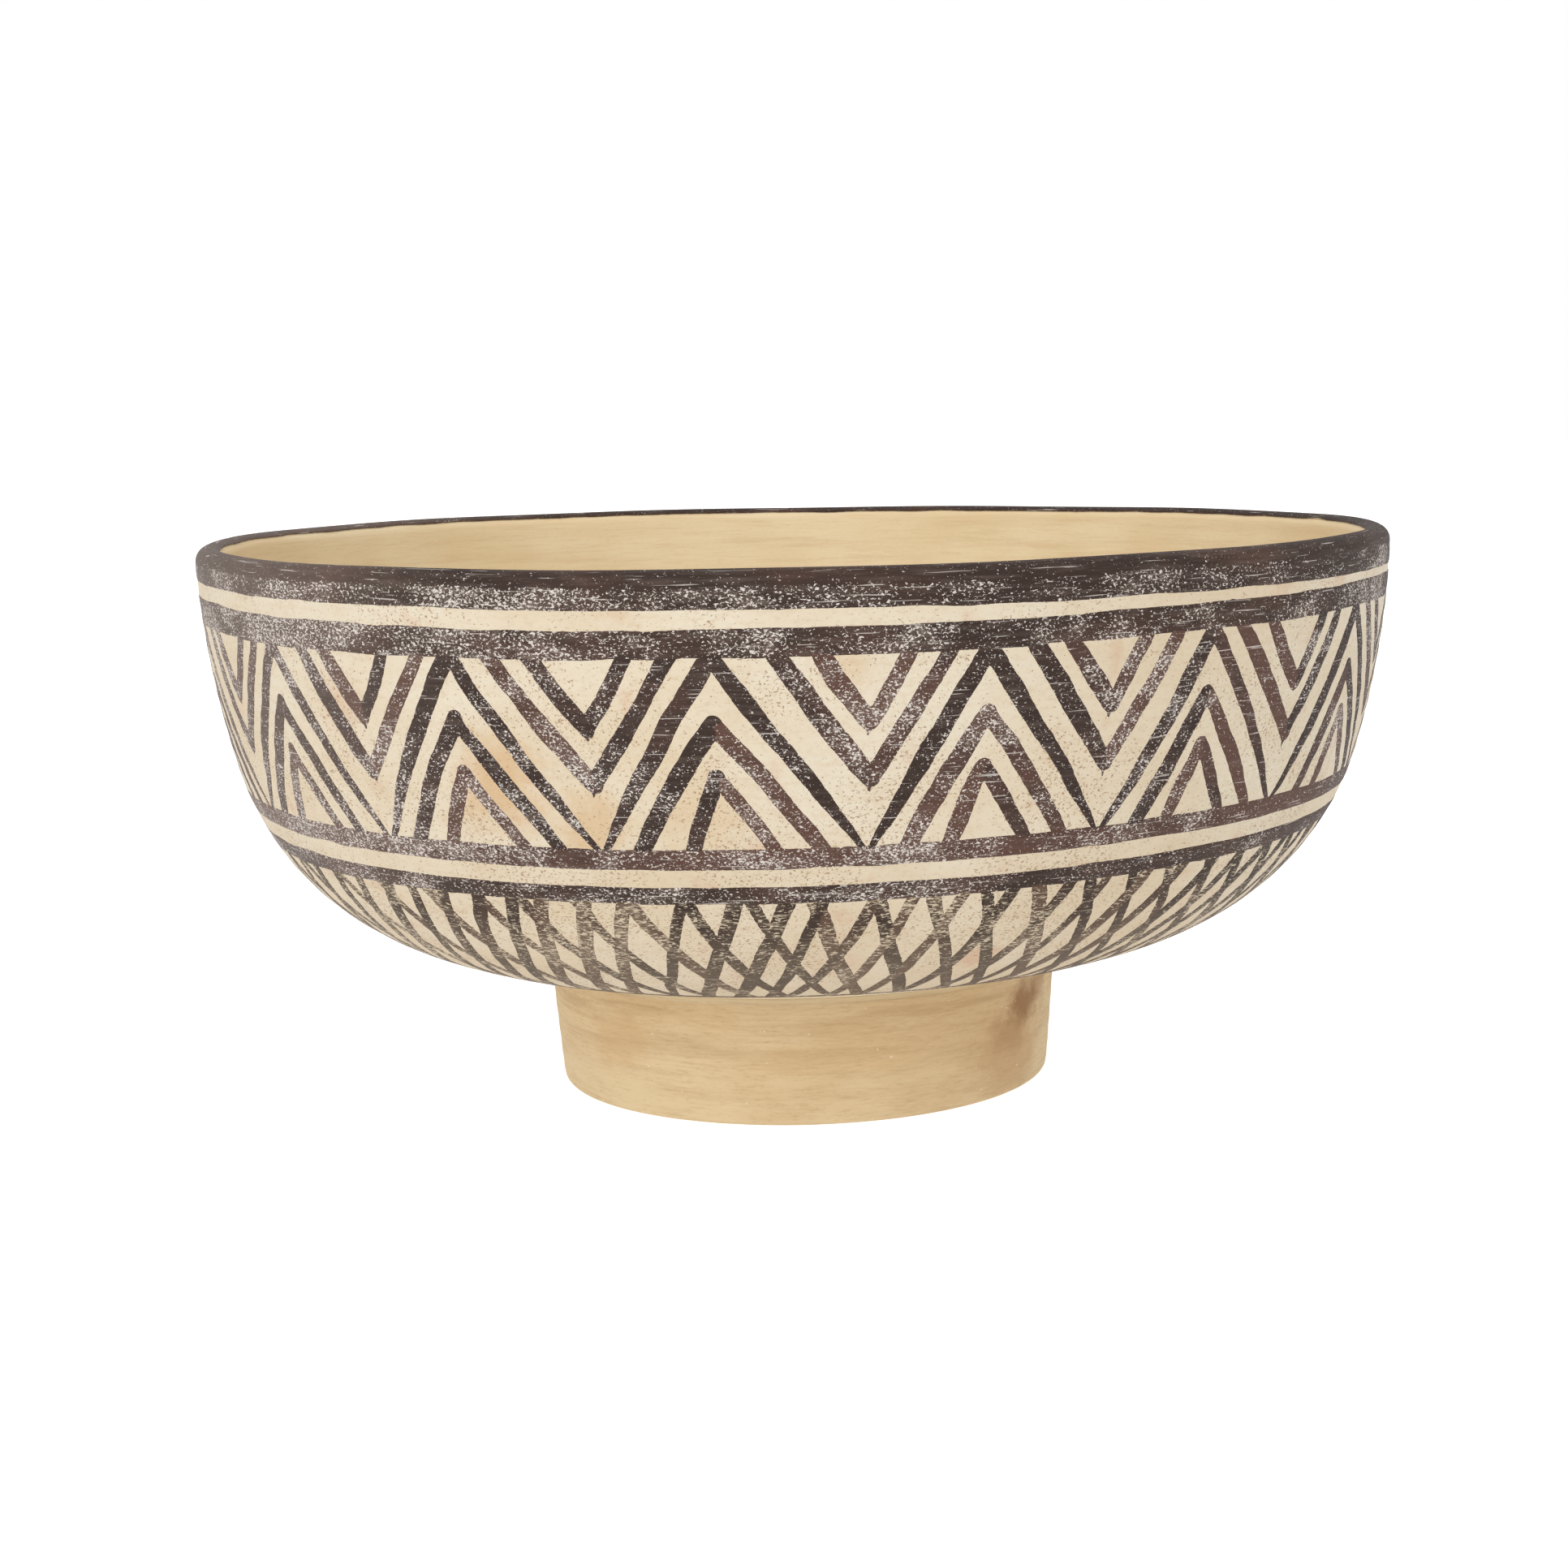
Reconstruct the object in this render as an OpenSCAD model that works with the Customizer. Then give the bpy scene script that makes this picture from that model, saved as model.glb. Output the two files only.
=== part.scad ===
// Footed earthenware bowl with a cream slip coat and brushed geometric paint.
// Millimetres, +Z up, origin at the centre of the foot's resting edge.
// Every paint coat is its own thin layer lying on the slip.

/* [Bowl] */
// Width of the bowl across the outside of its wall, just under the lip
bowl_d = 330; // [300:1:360]
// Radius of the gentle upper wall curve, in side view
upper_r = 232; // [210:1:250]
// Radius of the tight shoulder curve
shoulder_r = 74; // [70:1:80]
// Radius of the almost flat underside curve
under_r = 248; // [230:1:270]
// Full thickness of the wall with its slip
wall_t = 7.6; // [6:0.2:9]

/* [Foot] */
// Height of the underside of the bowl above the table, at its centre
floor_z = 32; // [30:0.5:40]
// Outer radius of the foot ring at its top
foot_top_r = 72.5; // [68:0.5:76]
// Outer radius of the foot ring at the table
foot_low_r = 69.5; // [66:0.5:72]
// Wall thickness of the foot ring
foot_t = 8; // [6:0.5:10]
// Rounding of the foot ring's lower edges
foot_round = 2; // [1:0.5:3]

/* [Coats] */
// Thickness of the cream slip
slip_t = 0.4; // [0.3:0.1:0.6]
// Thickness of the brushed paint
paint_t = 0.3; // [0.2:0.05:0.4]
// Thickness of the luting slip between bowl and foot
lute_t = 0.6; // [0.4:0.1:1]
// Height of the rim band's lower edge
rim_low = 145.3; // [143:0.1:147]
// Height of the upper band, lower and upper edge
upper_band_z = [134.4, 141.1];
// Height of the middle band, lower and upper edge
middle_band_z = [84.2, 89.2];
// Height of the lower band, lower and upper edge
lower_band_z = [75.0, 79.5];
// Radius of the base line on the underside, inner and outer edge
base_line_r = [103.4, 106];
// Radius on the underside where the cream slip ends and bare clay begins
slip_low_r = 102.6; // [90:0.2:103]
// How far the slip and the rim band reach over the lip, in eighths of its half turn
lip_reach = 6; // [5:1:8]

/* [Frieze] */
// Number of triangles round the bowl
triangles = 16; // [12:1:18]
// Angle from the front to the first lower corner of the zigzag
zigzag_turn = 5; // [0:0.5:11]
// Height of paint left at a zigzag corner
zigzag_tip = 3.4; // [2:0.2:5]
// Width of the zigzag stroke where it meets a band, in degrees
zigzag_foot = 1.1; // [0.6:0.1:2]

/* [Lattice] */
// Number of strokes that lean to the right on the way down
right_strokes = 61; // [40:1:66]
// Number of strokes that lean to the left on the way down
left_strokes = 78; // [50:1:80]
// Turn of a right-leaning stroke from top to bottom, in degrees
right_turn = 7; // [5:1:10]
// Turn of a left-leaning stroke from top to bottom, in degrees
left_turn = 8; // [5:1:11]
// Width of a lattice stroke at its top
stroke_w = 3.6; // [2:0.2:4]
// Width of a lattice stroke at its bottom
stroke_end_w = 3; // [1.4:0.2:3.6]

/* [Hidden] */
$fn = 96;

clay = [0.84, 0.74, 0.57];
lute = [0.72, 0.60, 0.43];
cream = [0.93, 0.87, 0.76];
umber = [0.36, 0.29, 0.26];
washed = [0.47, 0.43, 0.40];

// The wall's section is a chain of three tangent arcs. A station on it is the
// angle by which the outward normal dips below the horizontal.
lip_a = 2.2;
shoulder_a = 16.25;
under_a = 72.15;
arc_r = [upper_r, shoulder_r, under_r];
lip_r = wall_t / 2;

upper_c_x = bowl_d / 2 - upper_r * cos(lip_a);
shoulder_c_x = upper_c_x + (upper_r - shoulder_r) * cos(shoulder_a);
under_c_x = shoulder_c_x + (shoulder_r - under_r) * cos(under_a);
under_c_z = floor_z + under_r;
shoulder_c_z = under_c_z + (shoulder_r - under_r) * sin(under_a);
upper_c_z = shoulder_c_z + (upper_r - shoulder_r) * sin(shoulder_a);
arc_c = [[upper_c_x, upper_c_z], [shoulder_c_x, shoulder_c_z], [under_c_x, under_c_z]];

// Stations where the section has a corner: short chords along the three arcs.
stations = concat(
    [for (i = [0:3]) lip_a + i * (shoulder_a - lip_a) / 4],
    [for (i = [0:9]) shoulder_a + i * (under_a - shoulder_a) / 10],
    [for (i = [0:4]) under_a + i * (90 - under_a) / 4]
);
last = len(stations) - 1;

// Corner i of the section, moved t outward from the slip's face.
function arc_of(a) = a < shoulder_a ? 0 : (a < under_a ? 1 : 2);
function corner(i, t) =
    let (a = stations[i], k = arc_of(a))
    arc_c[k] + (arc_r[k] + t) * [cos(a), -sin(a)];

// A point part of the way along: u = 3.25 is a quarter past corner 3.
function along(u, t) =
    let (i = min(floor(u), last - 1), f = u - i)
    (1 - f) * corner(i, t) + f * corner(i + 1, t);

// Where the section passes height z, and where it passes radius r.
function u_at_z(z) = [
    for (i = [0:last - 1])
        let (a = corner(i, 0)[1], b = corner(i + 1, 0)[1])
        if (a >= z && z > b) i + (a - z) / (a - b)
][0];
function u_at_r(r) = [
    for (i = [0:last - 1])
        let (a = corner(i, 0)[0], b = corner(i + 1, 0)[0])
        if (a >= r && r > b) i + (a - r) / (a - b)
][0];

// The section from u0 down to u1 at offset t, and the same going up.
function down(u0, u1, t) = concat(
    [along(u0, t)],
    [for (i = [floor(u0) + 1:ceil(u1) - 1]) corner(i, t)],
    [along(u1, t)]
);
function flip(pts) = [for (i = [len(pts) - 1:-1:0]) pts[i]];

// The half-round lip at offset t, over to its outer edge from its inner edge or,
// where reach is less than all its steps, from part of the way over.
lip_c = arc_c[0] + (upper_r - lip_r) * [cos(lip_a), -sin(lip_a)];
lip_steps = 8;
function lip(t, reach = lip_steps) = [
    for (i = [lip_steps - reach:lip_steps])
        let (b = 180 * (1 - i / lip_steps) - lip_a)
        lip_c + (lip_r + t) * [cos(b), sin(b)]
];

// A thin coat on the outside from u0 down to u1, between two offsets.
module coat(u0, u1, t0, t1) {
    rotate_extrude()
        polygon(concat(down(u0, u1, t1), flip(down(u0, u1, t0))));
}

module paint_ring(z_range, t) {
    coat(u_at_z(z_range[1]), u_at_z(z_range[0]), 0, t);
}

// Everything inside the outer face at offset t, down to the table's level.
module inside_section(t) {
    polygon(concat([[0, lip_c[1]]], down(0, last, t), [[0, floor_z - t]]));
}

lute_out = 4;
lute_down = 1.8;
lute_end_r = foot_top_r + lute_out;

module bowl_body() {
    color(clay)
        rotate_extrude()
            polygon(concat(
                [[0, floor_z + wall_t - slip_t]],
                flip(down(0, last, slip_t - wall_t)),
                lip(-slip_t),
                down(0, last, -slip_t),
                [[0, floor_z + slip_t]]
            ));
}

module foot_section() {
    in_low = foot_low_r - foot_t;
    in_top = foot_top_r - foot_t;
    top = floor_z + 8;
    polygon(concat(
        [[foot_low_r + (foot_top_r - foot_low_r) * top / 40, top]],
        [[in_top, top]],
        [for (i = [0:6]) let (b = 180 + 15 * i)
            [in_low + foot_round, foot_round] + foot_round * [cos(b), sin(b)]],
        [for (i = [0:6]) let (b = 270 + 15 * i)
            [foot_low_r - foot_round, foot_round] + foot_round * [cos(b), sin(b)]]
    ));
}

module foot_ring() {
    color(clay)
        rotate_extrude()
            difference() {
                foot_section();
                inside_section(lute_t - slip_t);
            }
}

// The luting slip: a thin bed on top of the foot and a bead in each corner.
module joint_slip() {
    in_r = foot_top_r - foot_t;
    color(lute)
        rotate_extrude()
            difference() {
                polygon([
                    [in_r - lute_out, floor_z + 2 * lute_t],
                    [in_r + 0.5, floor_z + lute_t - lute_down],
                    [foot_top_r - 0.5, floor_z + 3.5 - lute_down],
                    [lute_end_r, floor_z + 4.2],
                    [lute_end_r, floor_z + 8],
                    [in_r - lute_out, floor_z + 8]
                ]);
                foot_section_below_bed();
                inside_section(-slip_t);
            }
}

module foot_section_below_bed() {
    difference() {
        foot_section();
        inside_section(lute_t - slip_t);
    }
}

module cream_slip() {
    u1 = u_at_r(slip_low_r);
    color(cream)
        rotate_extrude()
            polygon(concat(
                lip(0, lip_reach),
                down(0, u1, 0),
                flip(down(0, u1, -slip_t)),
                flip(lip(-slip_t, lip_reach))
            ));
}

module rim_band() {
    u1 = u_at_z(rim_low);
    color(umber)
        rotate_extrude()
            polygon(concat(
                lip(paint_t, lip_reach),
                down(0, u1, paint_t),
                flip(down(0, u1, 0)),
                flip(lip(0, lip_reach))
            ));
}

module upper_band() {
    color(umber) paint_ring(upper_band_z, paint_t);
}

module middle_band() {
    color(umber) paint_ring(middle_band_z, paint_t);
}

module lower_band() {
    color(umber) paint_ring(lower_band_z, paint_t);
}

// The frieze: triangles between the upper and middle bands. Outlines are drawn
// flat, x along the wall and y up, and cut the coat straight in from outside.
frieze_top = upper_band_z[0];
frieze_low = middle_band_z[1];
frieze_h = frieze_top - frieze_low;
pitch = 360 / triangles;
top_r = along(u_at_z(frieze_top), 0)[0];
low_r = along(u_at_z(frieze_low), 0)[0];
cut_from = 120;
cut_to = bowl_d / 2 + 5;

// Flat distance from a motif's middle line for an angle at the top or the foot.
function top_x(a) = top_r * sin(a);
function low_x(a) = low_r * sin(a);

module cut_at(a) {
    rotate([0, 0, a])
        rotate([90, 0, 0])
            translate([0, 0, cut_from])
                linear_extrude(cut_to - cut_from) children();
}

module round_the_bowl(first) {
    for (i = [0:triangles - 1]) cut_at(first + i * pitch) children();
}

module frieze_coat() {
    coat(u_at_z(frieze_top), u_at_z(frieze_low), 0, paint_t);
}

peak_first = zigzag_turn + pitch / 2;
open_half = pitch / 2 - zigzag_foot / 2;

// The bare ground inside a standing triangle, run a little past the band.
module standing_ground() {
    over = 4;
    half = low_x(open_half) * (frieze_h - zigzag_tip + over) / (frieze_h - zigzag_tip);
    polygon([
        [0, frieze_top - zigzag_tip],
        [-half, frieze_low - over],
        [half, frieze_low - over]
    ]);
}

module hanging_ground() {
    over = 4;
    half = top_x(open_half) * (frieze_h - zigzag_tip + over) / (frieze_h - zigzag_tip);
    polygon([
        [0, frieze_low + zigzag_tip],
        [half, frieze_top + over],
        [-half, frieze_top + over]
    ]);
}

module zigzag_line() {
    color(umber)
        difference() {
            frieze_coat();
            round_the_bowl(peak_first) standing_ground();
            round_the_bowl(zigzag_turn) hanging_ground();
        }
}

// A chevron: its outer and inner corner depths from the frieze's near edge, and
// half its width at the far edge, outside and inside, in degrees.
module peak_chevron(out_drop, in_drop, out_a, in_a) {
    color(umber)
        intersection() {
            frieze_coat();
            round_the_bowl(peak_first)
                polygon([
                    [0, frieze_top - out_drop],
                    [-low_x(out_a), frieze_low],
                    [-low_x(in_a), frieze_low],
                    [0, frieze_top - in_drop],
                    [low_x(in_a), frieze_low],
                    [low_x(out_a), frieze_low]
                ]);
        }
}

module hanging_chevron(out_drop, in_drop, out_a, in_a) {
    color(umber)
        intersection() {
            frieze_coat();
            round_the_bowl(zigzag_turn)
                polygon([
                    [0, frieze_top - out_drop],
                    [-top_x(out_a), frieze_top],
                    [-top_x(in_a), frieze_top],
                    [0, frieze_top - in_drop],
                    [top_x(in_a), frieze_top],
                    [top_x(out_a), frieze_top]
                ]);
        }
}

module outer_peak_chevrons() {
    peak_chevron(14, 20.6, 7.6, 6.0);
}

module inner_peak_chevrons() {
    peak_chevron(26.4, 32.8, 4.0, 2.5);
}

module outer_hanging_chevrons() {
    hanging_chevron(31.9, 25.6, 7.8, 6.2);
}

module inner_hanging_chevrons() {
    hanging_chevron(18.5, 11.9, 4.4, 2.8);
}

// The lattice on the underside, drawn in plan and cut straight up.
lattice_u = [u_at_z(lower_band_z[0]), u_at_r(base_line_r[1])];
lattice_r = [along(lattice_u[0], 0)[0], base_line_r[1]];

// Plan position at a radius and an angle from the front, plus a sideways shift.
function plan(r, a, side) =
    r * [sin(a), -cos(a)] + side * [cos(a), sin(a)];

module stroke(a, turn) {
    over = 3;
    polygon([
        plan(lattice_r[0] + over, a, -stroke_w / 2),
        plan(lattice_r[0] + over, a, stroke_w / 2),
        plan(lattice_r[1] - over, a + turn, stroke_end_w / 2),
        plan(lattice_r[1] - over, a + turn, -stroke_end_w / 2)
    ]);
}

module stroke_fan(count, turn) {
    for (i = [0:count - 1]) stroke(i * 360 / count, turn);
}

module lattice_coat() {
    coat(lattice_u[0], lattice_u[1], 0, paint_t);
}

module lattice_right_strokes() {
    color(washed)
        intersection() {
            lattice_coat();
            linear_extrude(bowl_d / 3) stroke_fan(right_strokes, right_turn);
        }
}

// The later strokes stop where they meet the first ones, so no paint overlaps.
module lattice_left_strokes() {
    color(washed)
        intersection() {
            lattice_coat();
            linear_extrude(bowl_d / 3)
                difference() {
                    stroke_fan(left_strokes, -left_turn);
                    stroke_fan(right_strokes, right_turn);
                }
        }
}

module base_line() {
    color(umber)
        coat(u_at_r(base_line_r[1]), u_at_r(base_line_r[0]), 0, paint_t);
}

bowl_body();
foot_ring();
joint_slip();
cream_slip();
rim_band();
upper_band();
middle_band();
lower_band();
zigzag_line();
outer_peak_chevrons();
inner_peak_chevrons();
outer_hanging_chevrons();
inner_hanging_chevrons();
lattice_right_strokes();
lattice_left_strokes();
base_line();
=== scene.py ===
"""A hand-painted footed earthenware bowl.

Bare clay inside and on the foot, a cream slip over the lip and down the outside,
and dark brown slip paint brushed over it: bands, a frieze of nested triangles, and
a lattice on the underside. Every coat of paint is its own thin closed mesh, drawn
stroke by stroke on the unrolled wall and laid back on the bowl.
"""
import math

import bpy
import numpy as np
from mathutils import Matrix, Vector


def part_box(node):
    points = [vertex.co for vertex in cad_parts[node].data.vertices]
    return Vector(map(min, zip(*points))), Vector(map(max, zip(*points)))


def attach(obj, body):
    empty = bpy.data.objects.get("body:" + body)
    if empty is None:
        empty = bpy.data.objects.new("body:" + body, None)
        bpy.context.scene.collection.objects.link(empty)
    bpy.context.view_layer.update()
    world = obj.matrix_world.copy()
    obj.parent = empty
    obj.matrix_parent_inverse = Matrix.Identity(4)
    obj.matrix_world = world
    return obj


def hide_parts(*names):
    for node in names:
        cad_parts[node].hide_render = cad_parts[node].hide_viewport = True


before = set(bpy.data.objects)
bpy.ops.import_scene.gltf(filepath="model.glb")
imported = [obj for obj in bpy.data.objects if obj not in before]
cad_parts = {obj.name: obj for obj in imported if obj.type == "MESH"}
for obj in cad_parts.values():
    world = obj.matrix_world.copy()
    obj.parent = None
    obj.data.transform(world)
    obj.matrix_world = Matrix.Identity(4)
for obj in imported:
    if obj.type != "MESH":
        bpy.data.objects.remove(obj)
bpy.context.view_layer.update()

MM = 0.001

# ---------------------------------------------------------------- the frame ---
SLIP = 0.4 * MM  # thickness of the cream slip
COAT = 0.3 * MM  # thickness of the paint in the frame
WALL = 7.6 * MM  # wall with its slip
LIP_R = WALL / 2
foot_low, foot_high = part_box("foot_ring")
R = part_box("rim_band")[1][0] - COAT  # outer radius just under the lip
FLOOR_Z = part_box("bowl_body")[0][2] - SLIP
FOOT_TOP_R = foot_high[0]
FOOT_LOW_R = FOOT_TOP_R - 3 * MM
FOOT_T = 8 * MM  # thickness of the foot ring

# The wall's section: three tangent arcs. The slope at a point is how far its
# outward normal dips below the horizontal.
ARC_R = (232 * MM, 74 * MM, 248 * MM)
LIP_A = math.radians(2.2)
ARC_END = (math.radians(16.25), math.radians(72.15), math.radians(90))


def arc_centres():
    ends = ARC_END
    r0 = R - ARC_R[0] * math.cos(LIP_A)
    r1 = r0 + (ARC_R[0] - ARC_R[1]) * math.cos(ends[0])
    r2 = r1 + (ARC_R[1] - ARC_R[2]) * math.cos(ends[1])
    z2 = FLOOR_Z + ARC_R[2]
    z1 = z2 + (ARC_R[1] - ARC_R[2]) * math.sin(ends[1])
    z0 = z1 + (ARC_R[0] - ARC_R[1]) * math.sin(ends[0])
    return (r0, z0), (r1, z1), (r2, z2)


ARC_C = arc_centres()
LIP_C = (
    ARC_C[0][0] + (ARC_R[0] - LIP_R) * math.cos(LIP_A),
    ARC_C[0][1] - (ARC_R[0] - LIP_R) * math.sin(LIP_A),
)
ARC_LEN = [
    ARC_R[0] * (ARC_END[0] - LIP_A),
    ARC_R[1] * (ARC_END[1] - ARC_END[0]),
    ARC_R[2] * (ARC_END[2] - ARC_END[1]),
]
# Arc lengths, measured down the wall from where the lip's round meets it: the end
# of each arc, the middle of the underside, and the lip's inner edge.
S1 = ARC_LEN[0]
S2 = S1 + ARC_LEN[1]
S3 = S2 + ARC_LEN[2]
S_END = S3 + ARC_C[2][0]
S_LIP = -math.pi * LIP_R
S_COATS = 0.75 * S_LIP  # how far over the lip the slip and the rim paint reach


def section(s, t=0.0):
    """Radius and height at arc length s below the lip, moved t outward.

    s is negative over the lip, and past S3 the underside is flat.
    """
    s = np.asarray(s, float)
    t = np.broadcast_to(np.asarray(t, float), s.shape)
    parts = [s < 0, s < S1, s < S2, s <= S3]
    slope = np.select(
        parts,
        [
            LIP_A + s / LIP_R,
            LIP_A + s / ARC_R[0],
            ARC_END[0] + (s - S1) / ARC_R[1],
            ARC_END[1] + (s - S2) / ARC_R[2],
        ],
        ARC_END[2],
    )
    radius = np.select(parts, [LIP_R, *ARC_R], ARC_R[2])
    centre_r = np.select(parts, [LIP_C[0], *[c[0] for c in ARC_C]], ARC_C[2][0])
    centre_z = np.select(parts, [LIP_C[1], *[c[1] for c in ARC_C]], ARC_C[2][1])
    r = centre_r + (radius + t) * np.cos(slope)
    z = centre_z - (radius + t) * np.sin(slope)
    return np.where(s > S3, ARC_C[2][0] - (s - S3), r), z


FINE_S = np.linspace(0, S_END, 4000)
FINE_R, FINE_Z = section(FINE_S)


def s_at_z(z):
    return float(np.interp(-z, -FINE_Z[FINE_S < S3], FINE_S[FINE_S < S3]))


def s_at_r(r):
    return float(np.interp(-r, -FINE_R, FINE_S))


def ease(x, lo, hi):
    """0 below lo, 1 above hi, smooth between."""
    x = np.clip((x - lo) / (hi - lo), 0, 1)
    return x * x * (3 - 2 * x)


def handmade(theta, r, z):
    """The slight unevenness of a thrown bowl, the same for every layer."""
    up = ease(z, 0.02, 0.15)
    out = 0.45 * np.sin(2 * theta + 0.6) + 0.25 * np.sin(3 * theta + 2.1)
    out = out + 0.12 * np.sin(7 * theta + 1.0)
    rings = 0.05 * np.sin(z / (1.05 * MM) + 1.2 * np.sin(2 * theta))
    near_axis = np.clip(r / 0.06, 0, 1)
    r = r + MM * (out * up + rings) * near_axis
    return r, z + MM * lift(theta) * ease(z, 0.04, 0.155)


def lift(theta):
    """How far the lip rises, in mm: it dried a little higher on the left."""
    low_order = 0.5 * np.cos(theta) - 1.4 * np.sin(theta)
    high_order = 0.28 * np.sin(2 * theta) - 0.23 * np.cos(2 * theta)
    return 0.1 + low_order + high_order + 0.1 * np.sin(11 * theta + 2.0)


def to_xyz(theta, r, z):
    """theta is measured from the front, -Y, towards +X."""
    r, z = handmade(theta, r, z)
    return np.stack([r * np.sin(theta), -r * np.cos(theta), z], -1)


# ---------------------------------------------------------------- materials ---
LIT = 0.56  # share of each linear colour that is used, because the studio is bright
PAINTED_LIGHT_ON_CLAY = 1.28  # painted light: bare clay, in the bowl's shade, is made this many times paler
GLOW = 0.78  # the sheet under the bowl is lit from below, as on a light table
PER_MM = 1000.0  # noise scale of one feature a millimetre, in metre coordinates
ACROSS, DOWN = 1, 2  # wheel coordinates: left to right, and down the wall


def srgb(*rgb):
    """The linear colour of a surface that should look this 8-bit sRGB when lit."""
    coded = np.array(rgb, float) / 255
    linear = np.where(coded <= 0.04045, coded / 12.92, ((coded + 0.055) / 1.055) ** 2.4)
    return (*[float(v) * LIT for v in linear], 1.0)


def painted_light_clay_tone(*rgb):
    """The same for bare clay, made paler as painted light, because it lies in the shade of the
    bowl or inside it.
    """
    return (*[v * PAINTED_LIGHT_ON_CLAY for v in srgb(*rgb)[:3]], 1.0)


class Graph:
    """A material's node graph, built by calls that return output sockets.

    colour is the surface's colour so far, and tint paints over it.
    """

    def __init__(self, name, roughness, specular, colour):
        self.material = bpy.data.materials.new(name)
        self.material.use_nodes = True
        self.tree = self.material.node_tree
        self.shader = self.tree.nodes["Principled BSDF"]
        self.shader.inputs["Roughness"].default_value = roughness
        self.shader.inputs["Specular IOR Level"].default_value = specular
        self.colour = colour

    def new(self, kind):
        return self.tree.nodes.new("ShaderNode" + kind)

    def put(self, socket, value):
        if isinstance(value, bpy.types.NodeSocket):
            self.tree.links.new(value, socket)
        else:
            socket.default_value = value

    def attribute(self, name):
        node = self.new("Attribute")
        node.attribute_name = name
        return node

    def value_of(self, name):
        return self.attribute(name).outputs["Fac"]

    def wheel(self, around, along):
        """Wheel coordinates, stretched: features are 1/around as long round the
        bowl and 1/along as long down the wall."""
        node = self.new("Mapping")
        node.inputs["Scale"].default_value = (around, around, along)
        self.put(node.inputs["Vector"], self.attribute("wheel").outputs["Vector"])
        return node.outputs["Vector"]

    def axis(self, index):
        """One of the wheel coordinates, in metres."""
        node = self.new("SeparateXYZ")
        self.put(node.inputs["Vector"], self.attribute("wheel").outputs["Vector"])
        return node.outputs[index]

    def place(self):
        """Plain object coordinates in metres."""
        return self.new("TexCoord").outputs["Object"]

    def noise(self, vector, scale, detail, rough, warp=0.0):
        node = self.new("TexNoise")
        self.put(node.inputs["Vector"], vector)
        node.inputs["Scale"].default_value = scale
        node.inputs["Detail"].default_value = detail
        node.inputs["Roughness"].default_value = rough
        node.inputs["Distortion"].default_value = warp
        return node.outputs["Fac"]

    def ramp(self, value, low, high, out_low=0.0, out_high=1.0):
        """value eased from low..high to out_low..out_high, and held outside them."""
        node = self.new("MapRange")
        node.interpolation_type = "SMOOTHSTEP"
        self.put(node.inputs["Value"], value)
        self.put(node.inputs["From Min"], low)
        self.put(node.inputs["From Max"], high)
        self.put(node.inputs["To Min"], out_low)
        self.put(node.inputs["To Max"], out_high)
        return node.outputs["Result"]

    def math(self, operation, a, b):
        node = self.new("Math")
        node.operation = operation
        self.put(node.inputs[0], a)
        self.put(node.inputs[1], b)
        return node.outputs[0]

    def plus(self, a, b):
        return self.math("ADD", a, b)

    def minus(self, a, b):
        return self.math("SUBTRACT", a, b)

    def times(self, a, b):
        return self.math("MULTIPLY", a, b)

    def mix(self, factor, a, b):
        node = self.new("Mix")
        node.data_type = "RGBA"
        self.put(node.inputs["Factor"], factor)
        self.put(node.inputs["A"], a)
        self.put(node.inputs["B"], b)
        return node.outputs["Result"]

    def tint(self, factor, colour):
        self.colour = self.mix(factor, self.colour, colour)

    def vector_math(self, operation, vector, by=None):
        node = self.new("VectorMath")
        node.operation = operation
        self.put(node.inputs[0], vector)
        if by is not None:
            node.inputs[1].default_value = by
        return node

    def blot(self, centre, radius, stretch=(1, 1, 1)):
        """1 at a spot on the object, fading to 0 at its ragged edge."""
        offset = self.vector_math("SUBTRACT", self.place(), centre).outputs[0]
        scale = [v / radius for v in stretch]
        scaled = self.vector_math("MULTIPLY", offset, scale).outputs[0]
        distance = self.vector_math("LENGTH", scaled).outputs["Value"]
        ragged = self.noise(self.place(), 160, 4, 0.65)
        shift = self.times(self.minus(ragged, 0.5), 1.1)
        return self.ramp(self.plus(distance, shift), 1.0, 0.25)

    def bump(self, height, depth, strength):
        node = self.new("Bump")
        node.inputs["Strength"].default_value = strength
        node.inputs["Distance"].default_value = depth
        self.put(node.inputs["Height"], height)
        self.put(self.shader.inputs["Normal"], node.outputs["Normal"])

    def finish(self):
        self.put(self.shader.inputs["Base Color"], self.colour)
        return self.material


def clay_graph(name, base, dark, pale, streaks):
    """Bare buff earthenware: wiped round on the wheel, with fine pits."""
    graph = Graph(name, 0.75, 0.25, base)
    wiped = graph.noise(graph.wheel(0.06, 1.0), 0.35 * PER_MM, 4, 0.6)
    lines = graph.noise(graph.wheel(0.06, 1.0), 1.1 * PER_MM, 3, 0.65)
    cloud = graph.noise(graph.wheel(0.5, 1.0), 0.03 * PER_MM, 3, 0.55)
    grit = graph.noise(graph.wheel(1.0, 1.0), 1.6 * PER_MM, 3, 0.7)
    grain = graph.noise(graph.wheel(0.25, 1.0), 2.2 * PER_MM, 2, 0.6)
    graph.tint(graph.ramp(cloud, 0.35, 0.7), pale)
    graph.tint(graph.ramp(wiped, 0.45, 0.75, 0, streaks), dark)
    graph.tint(graph.ramp(lines, 0.48, 0.7, 0, streaks * 0.8), dark)
    graph.tint(graph.ramp(grain, 0.5, 0.75, 0, streaks * 0.7), dark)
    graph.tint(graph.ramp(grit, 0.66, 0.78, 0, 0.45), dark)
    relief = graph.plus(wiped, graph.times(grit, 0.5))
    graph.bump(relief, 0.12 * MM, 0.5)
    return graph


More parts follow.
